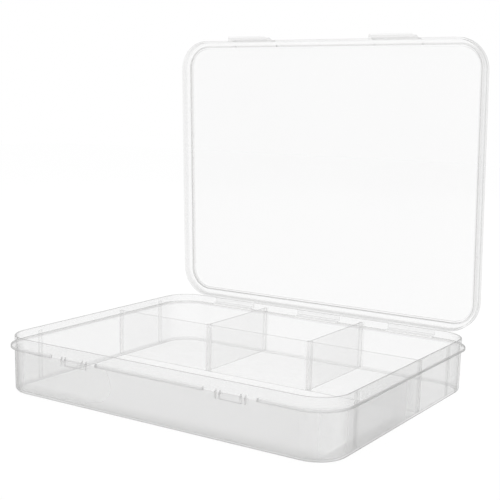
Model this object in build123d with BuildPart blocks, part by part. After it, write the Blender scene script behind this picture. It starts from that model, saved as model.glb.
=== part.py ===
"""Shallow compartment box with a hinged snap lid, moulded in natural polypropylene.

The tray stands on its underside at z = 0, its rim centred on the origin. X runs along the long side, the latches are
on the front at -Y and the hinge is along the back at +Y. The lid and its latch tabs are drawn shut and then turned
to the angle at which the box is displayed. Sizes are in millimetres.
"""

from build123d import *
import math
import os

# Tray
tray_length = 266.0
tray_width = 215.0
tray_height = 40.0
tray_wall = 1.2
tray_floor = 1.3
corner_radius = 22.0
bottom_round = 3.0
wall_draft = 1.0
rim_chamfer = 0.3

# Flange around the tray, on which the lid's skirt sits
flange_below_rim = 6.3
flange_thickness = 2.4
flange_reach = 2.8
flange_round = 0.7

# Dividers and the ribbed slots that hold them
divider_thickness = 1.2
divider_below_rim = 2.2
divider_corner = 1.0
long_divider_y = 21.0
rear_compartment_count = 3
spare_slot_y = 71.8
slot_rib_thickness = 1.2
slot_rib_depth = 2.4
divider_rib_depth = 2.0
slide_gap = 0.2
end_gap = 0.3

# Lid
lid_wall = 1.2
lid_overhang = 2.0
lid_seat_gap = 0.3
lid_round = 2.4
lid_inner_chamfer = 0.7
lid_rim_width = 5.3
lid_recess = 2.3
lid_recess_radius = 17.0
rim_clearance = 0.8
lid_open_angle = 87.3
gusset_thickness = 1.0
gusset_size = 1.8
side_gusset_y = 52.0

# Hinge, three flexing strips between a leaf on the tray and a leaf on the lid
hinge_reach = 6.7
hinge_strip_length = 39.0
hinge_strip_inset = 51.0
hinge_strip_radius = 0.6
hinge_leaf_thickness = 1.2
hinge_leaf_end = 0.15
strip_clearance = 0.25

# Latches, a catch on the tray under each flexing tab of the lid
latch_x = 63.5
latch_gap = 40.0
tab_side_gap = 1.3
tab_reach = 1.9
tab_root_height = 4.7
tab_bend_start = 1.0
tab_bend = 4.0
tab_lip = 1.2
tab_lip_height = 1.8
tab_hook = 1.7
tab_corner = 4.0
tab_thickness = 1.2
catch_length = 15.2
catch_reach = 2.0
catch_height = 5.9
catch_nose = 0.5
catch_rib_thickness = 0.9
catch_rib_reach = 1.6
catch_rib_top = 0.5
catch_rib_corner = 2.0
catch_side_rib = 3.3
catch_clearance = 0.5

# Derived places
flange_top = tray_height - flange_below_rim
divider_top = tray_height - divider_below_rim
flange_bottom = flange_top - flange_thickness
draft_slope = math.tan(math.radians(wall_draft))
front_face = tray_width / 2
cross_divider_x = tray_length / rear_compartment_count / 2
lid_length = tray_length + 2 * lid_overhang
lid_width = tray_width + 2 * lid_overhang
skirt_bottom = flange_top + lid_seat_gap
rim_underside = tray_height + rim_clearance
lid_top = rim_underside + lid_wall
panel_top = lid_top - lid_recess
panel_underside = panel_top - lid_wall
hinge_y = tray_width / 2 + hinge_reach
hinge_z = flange_top + lid_seat_gap / 2
hinge_line = Axis((0, hinge_y, hinge_z), (1, 0, 0))
hinge_outer_x = tray_length / 2 - hinge_strip_inset
hinge_centres = [-hinge_outer_x, 0.0, hinge_outer_x]
tab_width = latch_gap - 2 * tab_side_gap
flex_y = front_face + lid_overhang - tab_thickness / 2
flex_z = skirt_bottom + tab_root_height
catch_bottom = flange_top - catch_height

os.makedirs("parts", exist_ok=True)


def wall_shift(z):
    """How far the drafted wall has come in at height z, against the flange and the rim above it."""
    return max(0.0, flange_bottom - z) * draft_slope


def tray_solid(inset, bottom):
    """The tray's rounded and drafted block, taken in by inset and starting at height bottom."""
    with BuildPart() as block:
        with BuildSketch(Plane.XY.offset(flange_bottom)):
            RectangleRounded(tray_length - 2 * inset, tray_width - 2 * inset, corner_radius - inset)
        extrude(amount=bottom - flange_bottom, taper=wall_draft)
        fillet(block.faces().sort_by(Axis.Z)[0].edges(), bottom_round - inset)
        with BuildSketch(Plane.XY.offset(flange_bottom)):
            RectangleRounded(tray_length - 2 * inset, tray_width - 2 * inset, corner_radius - inset)
        extrude(amount=tray_height - flange_bottom)
    return block.part


def slot_offsets():
    """The places of a slot's two ribs, either side of the divider between them."""
    offset_to_rib = divider_thickness / 2 + slide_gap + slot_rib_thickness / 2
    return [-offset_to_rib, offset_to_rib]


# Base tray: floor, drafted walls, rim, flange, catches, hinge leaves and slot ribs in one moulding
tray_outside = tray_solid(0.0, 0.0)
cavity_block = tray_solid(tray_wall, tray_floor)

with BuildPart() as cavity:
    add(cavity_block)
    rib_height = divider_top - tray_floor
    rib_middle = (divider_top + tray_floor) / 2
    for side in (-1, 1):
        for row in (-spare_slot_y, long_divider_y, spare_slot_y):
            for rib_offset in slot_offsets():
                with Locations((side * (tray_length / 2 - tray_wall), row + rib_offset, rib_middle)):
                    Box(2 * slot_rib_depth, slot_rib_thickness, rib_height, mode=Mode.SUBTRACT)
        for rib_offset in slot_offsets():
            with Locations((side * cross_divider_x + rib_offset, front_face - tray_wall, rib_middle)):
                Box(slot_rib_thickness, 2 * slot_rib_depth, rib_height, mode=Mode.SUBTRACT)

with BuildPart() as flange:
    with BuildSketch(Plane.XY.offset(flange_bottom)):
        RectangleRounded(
            tray_length + 2 * flange_reach, tray_width + 2 * flange_reach, corner_radius + flange_reach
        )
    extrude(amount=flange_thickness)
    fillet(flange.edges().filter_by(Axis.Z, reverse=True), flange_round)
    for side in (-1, 1):
        with Locations((side * latch_x, -front_face - flange_reach, flange_bottom)):
            Box(latch_gap, 2 * flange_reach, 3 * flange_thickness, mode=Mode.SUBTRACT)

with BuildPart() as base_tray:
    add(tray_outside)
    add(flange.part)
    add(cavity.part, mode=Mode.SUBTRACT)
    chamfer(base_tray.faces().sort_by(Axis.Z)[-1].edges(), rim_chamfer)

    # A wedge catch between two end ribs, with a small rib each side of it, under each latch tab
    for side in (-1, 1):
        catch_start = side * latch_x - catch_length / 2
        with BuildSketch(Plane.YZ.offset(catch_start)):
            with BuildLine():
                Polyline(
                    (-front_face + tray_wall / 2, flange_top - catch_nose),
                    (-front_face, flange_top - catch_nose),
                    (-front_face - catch_reach, catch_bottom + catch_nose),
                    (-front_face - catch_reach, catch_bottom),
                    (-front_face + tray_wall / 2, catch_bottom),
                    close=True,
                )
            make_face()
        extrude(amount=catch_length)
        for rib_distance, rib_reach in (
            (catch_length / 2, catch_reach),
            (catch_length / 2 + catch_side_rib, catch_rib_reach),
        ):
            for rib_side in (-1, 1):
                rib_x = side * latch_x + rib_side * rib_distance
                with BuildSketch(Plane.YZ.offset(rib_x - catch_rib_thickness / 2)):
                    with BuildLine():
                        Polyline(
                            (-front_face + tray_wall / 2, flange_top),
                            (-front_face - catch_rib_top, flange_top),
                            (-front_face - rib_reach, flange_top - catch_rib_corner),
                            (-front_face - rib_reach, catch_bottom),
                            (-front_face + tray_wall / 2, catch_bottom),
                            close=True,
                        )
                    make_face()
                extrude(amount=catch_rib_thickness)

    # The tray's leaf of the hinge, hollowed along its end for the flexing strip
    for centre in hinge_centres:
        with BuildSketch(Plane.YZ.offset(centre - hinge_strip_length / 2)):
            with Locations(((front_face + hinge_y - hinge_leaf_end) / 2, flange_top - hinge_leaf_thickness / 2)):
                Rectangle(hinge_reach - hinge_leaf_end, hinge_leaf_thickness)
            with Locations((hinge_y, hinge_z)):
                Circle(hinge_strip_radius, mode=Mode.SUBTRACT)
        extrude(amount=hinge_strip_length)

base_tray.part.label = "base_tray"
export_step(base_tray.part, "parts/base_tray.step")


# Hinge strips: the thin flexing webs, drawn as round beads on the line that the lid turns about
for name, centre in zip(("left", "centre", "right"), hinge_centres):
    with BuildPart() as hinge_strip:
        with BuildSketch(Plane.YZ.offset(centre - hinge_strip_length / 2)):
            with Locations((hinge_y, hinge_z)):
                Circle(hinge_strip_radius)
        extrude(amount=hinge_strip_length)
    hinge_strip.part.label = "hinge_strip_" + name
    export_step(hinge_strip.part, "parts/hinge_strip_" + name + ".step")


# Lid: a rim channel over the tray's rim, a sunk panel, a skirt that sits on the flange, and its hinge leaves
with BuildPart() as lid_hollow:
    with BuildSketch(Plane.XY.offset(skirt_bottom)):
        RectangleRounded(
            lid_length - 2 * lid_wall, lid_width - 2 * lid_wall, corner_radius + lid_overhang - lid_wall
        )
    extrude(amount=rim_underside - skirt_bottom)
    chamfer(lid_hollow.faces().sort_by(Axis.Z)[-1].edges(), lid_inner_chamfer)

with BuildPart() as lid_shut:
    with BuildSketch(Plane.XY.offset(skirt_bottom)):
        RectangleRounded(lid_length, lid_width, corner_radius + lid_overhang)
    extrude(amount=lid_top - skirt_bottom)
    fillet(lid_shut.faces().sort_by(Axis.Z)[-1].edges(), lid_round)
    add(lid_hollow.part, mode=Mode.SUBTRACT)
    recess_length = lid_length - 2 * lid_rim_width
    recess_width = lid_width - 2 * lid_rim_width
    with BuildSketch(Plane.XY.offset(panel_underside)):
        RectangleRounded(recess_length, recess_width, lid_recess_radius)
    extrude(amount=lid_top - panel_underside)
    with BuildSketch(Plane.XY.offset(panel_top)):
        RectangleRounded(
            recess_length - 2 * lid_wall, recess_width - 2 * lid_wall, lid_recess_radius - lid_wall
        )
    extrude(amount=lid_top - panel_top, mode=Mode.SUBTRACT)

    # Openings in the skirt for the latch tabs
    tab_opening_top = flex_z + tab_thickness / 2 + strip_clearance
    for side in (-1, 1):
        with Locations((side * latch_x, -front_face - lid_overhang, (skirt_bottom + tab_opening_top) / 2)):
            Box(
                tab_width + 2 * strip_clearance,
                4 * lid_wall,
                tab_opening_top - skirt_bottom,
                mode=Mode.SUBTRACT,
            )

    # Small gussets between the panel's wall and the rim, at the ends of the tabs and along the short sides
    gusset_root_x = recess_length / 2
    gusset_root_y = recess_width / 2
    for side in (-1, 1):
        for end in (-1, 1):
            gusset_x = side * latch_x + end * latch_gap / 2
            with BuildSketch(Plane.YZ.offset(gusset_x - gusset_thickness / 2)):
                with BuildLine():
                    Polyline(
                        (-gusset_root_y + lid_wall / 2, rim_underside + lid_wall / 2),
                        (-gusset_root_y - gusset_size, rim_underside + lid_wall / 2),
                        (-gusset_root_y - gusset_size, rim_underside - gusset_size / 3),
                        (-gusset_root_y, panel_underside + gusset_size / 3),
                        (-gusset_root_y + lid_wall / 2, panel_underside + gusset_size / 3),
                        close=True,
                    )
                make_face()
            extrude(amount=gusset_thickness)
            with BuildSketch(Plane.XZ.offset(-end * side_gusset_y - gusset_thickness / 2)):
                with BuildLine():
                    Polyline(
                        (side * (gusset_root_x - lid_wall / 2), rim_underside + lid_wall / 2),
                        (side * (gusset_root_x + gusset_size), rim_underside + lid_wall / 2),
                        (side * (gusset_root_x + gusset_size), rim_underside - gusset_size / 3),
                        (side * gusset_root_x, panel_underside + gusset_size / 3),
                        (side * (gusset_root_x - lid_wall / 2), panel_underside + gusset_size / 3),
                        close=True,
                    )
                make_face()
            extrude(amount=gusset_thickness)

    # The lid's leaf of the hinge, clear of the flexing strip
    for centre in hinge_centres:
        with BuildSketch(Plane.YZ.offset(centre - hinge_strip_length / 2)):
            leaf_start = front_face + lid_overhang - lid_wall / 2
            leaf_end = hinge_y - hinge_leaf_end
            with Locations(((leaf_start + leaf_end) / 2, skirt_bottom + hinge_leaf_thickness / 2)):
                Rectangle(leaf_end - leaf_start, hinge_leaf_thickness)
            with Locations((hinge_y, hinge_z)):
                Circle(hinge_strip_radius + strip_clearance, mode=Mode.SUBTRACT)
        extrude(amount=hinge_strip_length)

lid = lid_shut.part.rotate(hinge_line, -lid_open_angle)
lid.label = "lid"
export_step(lid, "parts/lid.step")


# Latch tabs: each hangs from a flexing root in the skirt, hooks under its catch and ends in a thumb lip
tab_outer_y = -(front_face + lid_overhang)
tab_inner_y = tab_outer_y + tab_thickness
bend_top = skirt_bottom + tab_bend_start
hook_top = catch_bottom - catch_clearance
hook_bottom = hook_top - tab_thickness
lip_bottom = hook_bottom - tab_lip_height
tab_front_y = tab_outer_y - tab_reach - tab_lip
tab_top = flex_z + tab_thickness / 2

for name, side in (("left", -1), ("right", 1)):
    with BuildPart() as latch_tab:
        with BuildSketch(Plane.YZ.offset(side * latch_x - tab_width / 2)):
            with BuildLine():
                Polyline(
                    (tab_outer_y, flex_z),
                    (tab_outer_y, bend_top),
                    (tab_outer_y - tab_reach, bend_top - tab_bend),
                    (tab_outer_y - tab_reach, hook_bottom),
                    (tab_outer_y - tab_reach - tab_lip, lip_bottom + tab_thickness),
                    (tab_outer_y - tab_reach - tab_lip, lip_bottom),
                    (tab_outer_y - tab_reach, lip_bottom),
                    (tab_inner_y - tab_reach, hook_bottom - tab_thickness / 2),
                    (tab_inner_y - tab_reach + tab_hook, hook_bottom),
                    (tab_inner_y - tab_reach + tab_hook, hook_top),
                    (tab_inner_y - tab_reach, hook_top),
                    (tab_inner_y - tab_reach, bend_top - tab_bend - tab_thickness / 4),
                    (tab_inner_y, bend_top - tab_thickness / 4),
                    (tab_inner_y, flex_z),
                    close=True,
                )
            make_face()
            with Locations((-flex_y, flex_z)):
                Circle(tab_thickness / 2)
        extrude(amount=tab_width)
        with BuildSketch(Plane.XZ.offset(-tab_front_y)) as tab_outline:
            with Locations((side * latch_x, (tab_top + lip_bottom) / 2)):
                Rectangle(tab_width, tab_top - lip_bottom)
            fillet(tab_outline.vertices().group_by(Axis.Y)[0], tab_corner)
        extrude(amount=tab_front_y + front_face, mode=Mode.INTERSECT)
    tab = latch_tab.part.rotate(hinge_line, -lid_open_angle)
    tab.label = "latch_tab_" + name
    export_step(tab, "parts/latch_tab_" + name + ".step")


# Long divider: a thin plate between the short walls, with slot ribs on its back for the cross dividers
divider_bottom = tray_floor + slide_gap
low_half = tray_length / 2 - tray_wall - wall_shift(divider_bottom) - end_gap
high_half = tray_length / 2 - tray_wall - end_gap
corner_cut = bottom_round - tray_wall + end_gap

with BuildPart() as long_divider:
    with BuildSketch(Plane.XZ.offset(-long_divider_y - divider_thickness / 2)) as plate_outline:
        with BuildLine():
            Polyline(
                (-low_half, divider_bottom),
                (low_half, divider_bottom),
                (high_half, flange_bottom),
                (high_half, divider_top),
                (-high_half, divider_top),
                (-high_half, flange_bottom),
                close=True,
            )
        make_face()
        fillet(plate_outline.vertices().group_by(Axis.Y)[0], corner_cut)
        fillet(plate_outline.vertices().group_by(Axis.Y)[-1], divider_corner)
    extrude(amount=divider_thickness)
    divider_back = long_divider_y + divider_thickness / 2
    divider_middle = (divider_bottom + divider_top) / 2
    for side in (-1, 1):
        for rib_offset in slot_offsets():
            with Locations((side * cross_divider_x + rib_offset, divider_back, divider_middle)):
                Box(slot_rib_thickness, 2 * divider_rib_depth, divider_top - divider_bottom)
    # The ribs stand on the back only
    with Locations((0, long_divider_y - divider_thickness / 2 - divider_rib_depth, divider_middle)):
        Box(tray_length, 2 * divider_rib_depth, tray_height, mode=Mode.SUBTRACT)

long_divider.part.label = "long_divider"
export_step(long_divider.part, "parts/long_divider.step")


# Cross dividers: plates between the long divider and the back wall
plate_front = divider_back + end_gap
low_rear = front_face - tray_wall - wall_shift(divider_bottom) - end_gap
high_rear = front_face - tray_wall - end_gap

for name, side in (("left", -1), ("right", 1)):
    with BuildPart() as cross_divider:
        with BuildSketch(Plane.YZ.offset(side * cross_divider_x - divider_thickness / 2)) as plate_outline:
            with BuildLine():
                Polyline(
                    (plate_front, divider_bottom),
                    (low_rear, divider_bottom),
                    (high_rear, flange_bottom),
                    (high_rear, divider_top),
                    (plate_front, divider_top),
                    close=True,
                )
            make_face()
            fillet(plate_outline.vertices().group_by(Axis.Y)[0].sort_by(Axis.X)[-1], corner_cut)
            fillet(plate_outline.vertices().group_by(Axis.Y)[-1], divider_corner)
        extrude(amount=divider_thickness)
    cross_divider.part.label = "cross_divider_" + name
    export_step(cross_divider.part, "parts/cross_divider_" + name + ".step")
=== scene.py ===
"""A shallow compartment box of natural polypropylene, open, with its lid standing up behind it."""
import math

import bpy
from mathutils import Matrix, Vector


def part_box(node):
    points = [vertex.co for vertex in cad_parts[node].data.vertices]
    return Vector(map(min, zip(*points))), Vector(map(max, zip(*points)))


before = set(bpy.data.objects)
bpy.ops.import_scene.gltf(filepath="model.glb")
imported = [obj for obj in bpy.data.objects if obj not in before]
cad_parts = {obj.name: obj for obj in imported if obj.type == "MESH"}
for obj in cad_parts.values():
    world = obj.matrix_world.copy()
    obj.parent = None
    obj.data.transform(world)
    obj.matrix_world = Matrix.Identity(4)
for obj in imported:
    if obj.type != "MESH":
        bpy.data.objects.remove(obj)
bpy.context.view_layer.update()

# Camera
# A short telephoto lens about 75 cm from the box and 20 cm above the table. It stands to the right of the
# front, some 33 degrees round the box, and looks down on it by about 8 degrees.
CAMERA_PLACE = Vector((0.394275, -0.605900, 0.207044))
CAMERA_AZIMUTH = 33.4628
CAMERA_ELEVATION = 7.6535
CAMERA_ROLL = -1.2288
CAMERA_LENS = 73.333
CAMERA_SENSOR = 36.0
CAMERA_SHIFT = (0.02746, -0.02144)

azimuth = math.radians(CAMERA_AZIMUTH)
elevation = math.radians(CAMERA_ELEVATION)
back = Vector(
    (math.sin(azimuth) * math.cos(elevation), -math.cos(azimuth) * math.cos(elevation), math.sin(elevation))
)
right = Vector((math.cos(azimuth), math.sin(azimuth), 0.0))
up = back.cross(right)
facing = Matrix((right, up, back)).transposed()
rolled = facing @ Matrix.Rotation(math.radians(-CAMERA_ROLL), 3, "Z")
camera_data = bpy.data.cameras.new("camera")
camera_data.lens = CAMERA_LENS
camera_data.sensor_width = CAMERA_SENSOR
camera_data.shift_x, camera_data.shift_y = CAMERA_SHIFT
camera = bpy.data.objects.new("camera", camera_data)
camera.matrix_world = Matrix.Translation(CAMERA_PLACE) @ rolled.to_4x4()
bpy.context.collection.objects.link(camera)
bpy.context.scene.camera = camera
bpy.context.scene.view_settings.view_transform = "Standard"

# Studio
# A white sweep: an even dome of light, three large soft lamps and a pale table. Where the lens sees them,
# straight or through clear plastic, the dome is plain white, and so is the table but for a faint shadow.
WHITE = (1.0, 1.0, 1.0, 1.0)
DOME_STRENGTH = 0.62
TABLE_HALF = 3.0
TABLE_COLOUR = (0.88, 0.88, 0.88, 1.0)
TABLE_GLOW = 0.958
TABLE_SHADE = (0.06, 0.06, 0.06, 1.0)
LAMP_AIM = Vector((0.0, 0.0, 0.05))
# Each lamp's name, place, size across and power, in metres and watts
LAMPS = (
    ("key_light", (-1.0, -1.1, 0.8), 1.2, 3.5),
    ("top_light", (-0.2, 0.2, 1.4), 1.4, 5.0),
    ("back_light", (-0.5, 1.3, 0.9), 1.4, 2.5),
)


def empty_tree(owner):
    """The node tree of a world or material, cleared."""
    owner.use_nodes = True
    owner.node_tree.nodes.clear()
    return owner.node_tree


def feed(tree, sockets, values):
    """Gives each input its plain value, or links it to another node's output."""
    for socket, value in zip(sockets, values):
        if isinstance(value, bpy.types.NodeSocket):
            tree.links.new(value, socket)
        else:
            socket.default_value = value


def add_node(tree, kind, inputs):
    """A node with its named inputs fed."""
    node = tree.nodes.new(kind)
    feed(tree, [node.inputs[name] for name in inputs], inputs.values())
    return node


def maths(tree, operation, *values):
    """A sum on node outputs and plain numbers."""
    node = tree.nodes.new("ShaderNodeMath")
    node.operation = operation
    feed(tree, node.inputs, values)
    return node.outputs["Value"]


def mix_shaders(tree, share, first, second):
    """The first shader, with the given share of the second in its place."""
    node = tree.nodes.new("ShaderNodeMixShader")
    feed(tree, node.inputs, (share, first.outputs[0], second.outputs[0]))
    return node


def seen_by_lens(tree):
    """One for the rays that show the background, straight or through clear plastic."""
    rays = tree.nodes.new("ShaderNodeLightPath").outputs
    return maths(tree, "MAXIMUM", rays["Is Camera Ray"], rays["Is Transmission Ray"])


dome = bpy.data.worlds.new("studio")
bpy.context.scene.world = dome
tree = empty_tree(dome)
light_on_box = add_node(tree, "ShaderNodeBackground", {"Color": WHITE, "Strength": DOME_STRENGTH})
white_behind = add_node(tree, "ShaderNodeBackground", {"Color": WHITE, "Strength": 1.0})
sky = mix_shaders(tree, seen_by_lens(tree), light_on_box, white_behind)
add_node(tree, "ShaderNodeOutputWorld", {"Surface": sky.outputs[0]})

table_mesh = bpy.data.meshes.new("table_top")
table_corners = [(x * TABLE_HALF, y * TABLE_HALF, 0.0) for x, y in ((-1, -1), (1, -1), (1, 1), (-1, 1))]
table_mesh.from_pydata(table_corners, [], [(0, 1, 2, 3)])
table = bpy.data.objects.new("table_top", table_mesh)
bpy.context.collection.objects.link(table)
pale_table = bpy.data.materials.new("pale_table")
tree = empty_tree(pale_table)
plain = add_node(tree, "ShaderNodeBsdfDiffuse", {"Color": TABLE_COLOUR})
glow = add_node(tree, "ShaderNodeEmission", {"Strength": TABLE_GLOW})
shade = add_node(tree, "ShaderNodeBsdfDiffuse", {"Color": TABLE_SHADE})
swept = tree.nodes.new("ShaderNodeAddShader")
feed(tree, swept.inputs, (glow.outputs[0], shade.outputs[0]))
table_finish = mix_shaders(tree, seen_by_lens(tree), plain, swept)
add_node(tree, "ShaderNodeOutputMaterial", {"Surface": table_finish.outputs[0]})
table_mesh.materials.append(pale_table)

for name, place, size, power in LAMPS:
    lamp = bpy.data.lights.new(name, "AREA")
    lamp.size = size
    lamp.energy = power
    lamp_object = bpy.data.objects.new(name, lamp)
    lamp_object.location = place
    lamp_object.rotation_euler = (LAMP_AIM - Vector(place)).to_track_quat("-Z", "Y").to_euler()
    bpy.context.collection.objects.link(lamp_object)

# Base tray
# One moulding of natural polypropylene: floor, drafted walls, flange, catches and slot ribs. It is milky
# rather than clear, so a wall hides more the more of it the light crosses. Its front is lightly etched.
# Painted shade makes the front hazier towards the right, and the front half of the right wall hazier too.

# How milky the plastic is, and how its haze and tint change from place to place and at a slant.
PLASTIC_IOR = 1.49
MILK_SHARE = 0.4
HAZE_DRIFT = 0.3
HAZE_WAVES = 11.0
NOISE_DETAIL = 2.0
EDGE_ON_ROOM = 0.06
SLANT_POWER = 1.5
DARK_TINT = 1.4

# Where it hides more, and by how much. The places are in metres from its rim, its front or right edge,
# the table or the middle of a corner.
NO_CORNER = 1.0
FLANGE_CORNER_RADIUS = 0.0248
FLANGE_UNDERSIDE_DEPTH = 0.0088
FLANGE_BAND_MIDDLE = 0.0237
FLANGE_BAND_HALF = 0.0013
FLANGE_BAND_HAZE = (0.3, 0.3, 0.02)
RIM_EDGE_DEPTH = 0.0004
RIM_EDGE_HAZE = 0.22
FOOT_HEIGHT = 0.00303
FOOT_BAND_START = 0.0185
FOOT_HAZE = 0.16
ETCH_AND_SHADE_HAZE = 0.2
# The front wall's haze is partly its etching and partly painted shade, which grows towards the right.
FRONT_HAZE_START = 0.0243
FRONT_HAZE_FULL = 0.0043
FRONT_HAZE_AT_MIDDLE = 0.8
FRONT_PAINTED_SHADE_RISE_TO_RIGHT = 1.8
# Painted shade: haze on the front half of the right wall, so that it shows darker.
SIDE_PAINTED_SHADE_START = 0.1343
SIDE_PAINTED_SHADE_FULL = 0.0943
SIDE_PAINTED_SHADE_SHARE = 0.45
SIDE_WALL_ROOM = 0.0158

tray_low, tray_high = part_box("base_tray")
flange_corner = (tray_high.x - FLANGE_CORNER_RADIUS, -tray_low.y - FLANGE_CORNER_RADIUS, NO_CORNER)
flange_underside = tray_high.z - FLANGE_UNDERSIDE_DEPTH


def vector_maths(tree, operation, *values):
    """A sum on vectors. A dot product or a length comes out as a plain number."""
    node = tree.nodes.new("ShaderNodeVectorMath")
    node.operation = operation
    feed(tree, node.inputs, values)
    return node.outputs["Value" if operation in ("DOT_PRODUCT", "LENGTH") else "Vector"]


def mix_colours(tree, share, first, second):
    """The first colour, with the given share of the second in its place."""
    node = tree.nodes.new("ShaderNodeMix")
    node.data_type = "RGBA"
    colours = [socket for socket in node.inputs if socket.type == "RGBA"]
    feed(tree, [node.inputs["Factor"], *colours], (share, first, second))
    return next(socket for socket in node.outputs if socket.type == "RGBA")


def ripples(tree, place, waves):
    """Soft noise through the plastic, with about so many waves to the metre."""
    inputs = {"Vector": place["Object"], "Scale": waves, "Detail": NOISE_DETAIL}
    return add_node(tree, "ShaderNodeTexNoise", inputs).outputs[0]


def by_facing(tree, place, shares):
    """The shares of faces turned to X, Y and Z, blended for a face that is turned between them."""
    squared = vector_maths(tree, "MULTIPLY", place["Normal"], place["Normal"])
    return vector_maths(tree, "DOT_PRODUCT", squared, shares)


def fade_in(tree, value, start, full):
    """Nought before start, one past full, and even between them."""
    steepness = 1.0 / (full - start)
    risen = maths(tree, "MULTIPLY_ADD", value, steepness, -start * steepness)
    return maths(tree, "MINIMUM", maths(tree, "MAXIMUM", risen, 0.0), 1.0)


def out_from_corners(tree, spot, corner):
    """How far out a spot is from the middle of a rounded corner, or from the line between two of them.

    corner is that middle where all are positive, with NO_CORNER in the direction that doesn't count.
    """
    outward = vector_maths(tree, "SUBTRACT", vector_maths(tree, "ABSOLUTE", spot), corner)
    outward = vector_maths(tree, "MAXIMUM", outward, (0.0, 0.0, 0.0))
    return vector_maths(tree, "LENGTH", outward)


def natural_polypropylene(
    name, colour, end_on, haze, shares, roughness, relief, relief_size, zones=None, inner=False
):
    """Milky plastic, whose haze is how much a face hides seen straight on.

    shares multiplies the haze of faces turned to X, Y and Z. colour is seen straight on and end_on at a
    slant. relief and relief_size are the height and width of the skin's ripples. zones gives the haze to
    add in places, as it is and with a darker tint. An inner piece lets light through by transmission,
    because only a few clear layers can stand in a row.
    """
    material = bpy.data.materials.new(name)
    tree = empty_tree(material)
    place = tree.nodes.new("ShaderNodeTexCoord").outputs
    least = haze * (1.0 - HAZE_DRIFT / 2)
    uneven = maths(tree, "MULTIPLY_ADD", ripples(tree, place, HAZE_WAVES), haze * HAZE_DRIFT, least)
    hides = maths(tree, "MULTIPLY", uneven, by_facing(tree, place, shares))
    slant = add_node(tree, "ShaderNodeLayerWeight", {"Blend": 0.5}).outputs["Facing"]
    away = maths(tree, "POWER", slant, SLANT_POWER)
    if zones:
        zone_haze, darker = zones(tree, place)
        hides = maths(tree, "ADD", hides, maths(tree, "ADD", zone_haze, darker))
        away = maths(tree, "MULTIPLY_ADD", darker, DARK_TINT, away)

    # Light at a slant crosses more of the wall, up to some 18 times its thickness.
    straight = 1.0 + EDGE_ON_ROOM
    path = maths(tree, "DIVIDE", straight, maths(tree, "SUBTRACT", straight, slant))
    through = maths(tree, "POWER", maths(tree, "SUBTRACT", 1.0, hides), path)

    tint = mix_colours(tree, away, colour, end_on)
    relief_height = ripples(tree, place, 1.0 / relief_size)
    bump = add_node(tree, "ShaderNodeBump", {"Distance": relief, "Height": relief_height})
    finish = {"Base Color": tint, "Roughness": roughness, "IOR": PLASTIC_IOR, "Normal": bump.outputs[0]}
    skin = add_node(tree, "ShaderNodeBsdfPrincipled", finish)
    milk = add_node(tree, "ShaderNodeBsdfTranslucent", {"Color": tint})
    body = mix_shaders(tree, MILK_SHARE, skin, milk)
    if inner:
        unbent = {"Base Color": WHITE, "Transmission Weight": 1.0, "Roughness": 0.0, "IOR": 1.0}
        clear = add_node(tree, "ShaderNodeBsdfPrincipled", unbent)
    else:
        clear = tree.nodes.new("ShaderNodeBsdfTransparent")
    wall = mix_shaders(tree, through, body, clear)
    add_node(tree, "ShaderNodeOutputMaterial", {"Surface": wall.outputs[0]})
    return material


def dress(node, material):
    """Puts a material on a modelled piece."""
    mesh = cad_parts[node].data
    mesh.materials.clear()
    mesh.materials.append(material)


def tray_zones(tree, place):
    """Where the tray hides more: etched at the front, with painted shade there growing to the right and on
    the right wall's front half, and thick or seen edge on at flange, rim and foot.
    """
    x, y, z = add_node(tree, "ShaderNodeSeparateXYZ", {"Vector": place["Object"]}).outputs
    # Haze on the front wall: its etching, with painted shade growing towards the right.
    front = fade_in(tree, y, tray_low.y + FRONT_HAZE_START, tray_low.y + FRONT_HAZE_FULL)
    rightward = maths(tree, "MULTIPLY_ADD", x, FRONT_PAINTED_SHADE_RISE_TO_RIGHT, FRONT_HAZE_AT_MIDDLE)
    front = maths(tree, "MULTIPLY", front, rightward)
    # Painted shade: more haze on the front half of the right wall.
    side = fade_in(tree, y, tray_low.y + SIDE_PAINTED_SHADE_START, tray_low.y + SIDE_PAINTED_SHADE_FULL)
    on_side = maths(tree, "GREATER_THAN", x, tray_high.x - SIDE_WALL_ROOM)
    side = maths(tree, "MULTIPLY", maths(tree, "MULTIPLY", side, SIDE_PAINTED_SHADE_SHARE), on_side)
    below_flange = maths(tree, "LESS_THAN", z, flange_underside)
    etched_and_shaded = maths(tree, "MULTIPLY", maths(tree, "MAXIMUM", front, side), below_flange)

    outside = out_from_corners(tree, place["Object"], flange_corner)
    from_flange_up = maths(tree, "GREATER_THAN", z, flange_underside)
    band = maths(tree, "COMPARE", outside, FLANGE_BAND_MIDDLE, FLANGE_BAND_HALF)
    band = maths(tree, "MULTIPLY", band, from_flange_up)
    band = maths(tree, "MULTIPLY", band, by_facing(tree, place, FLANGE_BAND_HAZE))
    rim_edge = maths(tree, "GREATER_THAN", z, tray_high.z - RIM_EDGE_DEPTH)
    thick = maths(tree, "MAXIMUM", band, maths(tree, "MULTIPLY", rim_edge, RIM_EDGE_HAZE))
    near_outside = maths(tree, "GREATER_THAN", outside, FOOT_BAND_START)
    foot = maths(tree, "MULTIPLY", fade_in(tree, z, FOOT_HEIGHT, 0.0), near_outside)
    dark = maths(tree, "MULTIPLY_ADD", foot, FOOT_HAZE, thick)
    return maths(tree, "MULTIPLY", etched_and_shaded, ETCH_AND_SHADE_HAZE), dark


tray_plastic = natural_polypropylene(
    "tray_plastic",
    colour=(0.865, 0.863, 0.86, 1.0),
    end_on=(0.505, 0.503, 0.5, 1.0),
    haze=0.08,
    shares=(1.0, 1.0, 0.4),
    roughness=0.42,
    relief=0.00003,
    relief_size=0.0009,
    zones=tray_zones,
)
dress("base_tray", tray_plastic)

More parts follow.
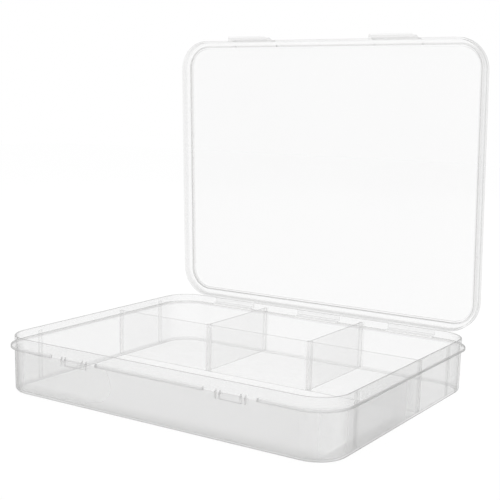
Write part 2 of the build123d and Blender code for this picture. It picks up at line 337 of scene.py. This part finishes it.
# Long divider
# A flat moulded strip of the same plastic, polished on both faces. It drops into slots between ribs on
# the tray's end walls, and carries ribs of its own for the cross dividers.
DIVIDER_FINISH = {
    "colour": (0.885, 0.883, 0.88, 1.0),
    "end_on": (0.425, 0.423, 0.42, 1.0),
    "haze": 0.055,
    "roughness": 0.22,
    "relief": 0.00004,
    "relief_size": 0.012,
    "inner": True,
}
long_plastic = natural_polypropylene("long_divider_plastic", shares=(4.0, 1.0, 6.0), **DIVIDER_FINISH)
dress("long_divider", long_plastic)

# Cross dividers
# Two shorter strips of the same plastic, finished like the long one. They drop in between its ribs and
# others on the tray's rear wall, and lift out.
cross_plastic = natural_polypropylene("cross_divider_plastic", shares=(1.0, 4.0, 6.0), **DIVIDER_FINISH)
for side in ("left", "right"):
    dress("cross_divider_" + side, cross_plastic)

# Lid
# A thin moulded lid, clearer than the tray: a sunk panel inside a hollow rim, which shows as two grey
# lines where its walls are seen end on. It is held to the tray by the hinge strips.

# The sunk panel's centre, in metres below the lid's upper edge, the middles of its rounded corners, in from
# the lid's side and up from that centre, and the wall round it, out from those middles.
PANEL_CENTRE_DEPTH = 0.10927
PANEL_CORNER_INSET = 0.0223
PANEL_CORNER_RISE = 0.0871
PANEL_WALL_MIDDLE = 0.0176
PANEL_WALL_HALF = 0.0007
PANEL_WALL_HAZE = 0.02
PANEL_WALL_DARK = 0.16

lid_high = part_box("lid")[1]
panel_centre = (0.0, 0.0, lid_high.z - PANEL_CENTRE_DEPTH)
panel_corner = (lid_high.x - PANEL_CORNER_INSET, NO_CORNER, PANEL_CORNER_RISE)


def lid_zones(tree, place):
    """Where the lid hides more: along the upright wall between its rim and its sunk panel."""
    centred = vector_maths(tree, "SUBTRACT", place["Object"], panel_centre)
    outside = out_from_corners(tree, centred, panel_corner)
    wall = maths(tree, "COMPARE", outside, PANEL_WALL_MIDDLE, PANEL_WALL_HALF)
    return maths(tree, "MULTIPLY", wall, PANEL_WALL_HAZE), maths(tree, "MULTIPLY", wall, PANEL_WALL_DARK)


lid_plastic = natural_polypropylene(
    "lid_plastic",
    colour=(0.885, 0.883, 0.88, 1.0),
    end_on=(0.505, 0.503, 0.5, 1.0),
    haze=0.055,
    shares=(1.7, 1.0, 2.2),
    roughness=0.18,
    relief=0.00004,
    relief_size=0.015,
    zones=lid_zones,
)
dress("lid", lid_plastic)

# Latch tabs
# Two springy tabs of the same plastic, moulded on the lid's front edge and thin, so that they bend over
# the catches on the tray.
tab_plastic = natural_polypropylene(
    "tab_plastic",
    colour=(0.845, 0.843, 0.84, 1.0),
    end_on=(0.425, 0.423, 0.42, 1.0),
    haze=0.07,
    shares=(1.5, 1.0, 1.5),
    roughness=0.25,
    relief=0.00003,
    relief_size=0.004,
)
for side in ("left", "right"):
    dress("latch_tab_" + side, tab_plastic)

# Hinge strips
# Three short strips of the same plastic between the leaves on the tray and those on the lid. They are
# pressed thin, so that they fold each time the lid is opened.
strip_plastic = natural_polypropylene(
    "strip_plastic",
    colour=(0.905, 0.903, 0.9, 1.0),
    end_on=(0.705, 0.703, 0.7, 1.0),
    haze=0.05,
    shares=(1.0, 1.0, 1.0),
    roughness=0.3,
    relief=0.00003,
    relief_size=0.003,
)
for side in ("left", "centre", "right"):
    dress("hinge_strip_" + side, strip_plastic)
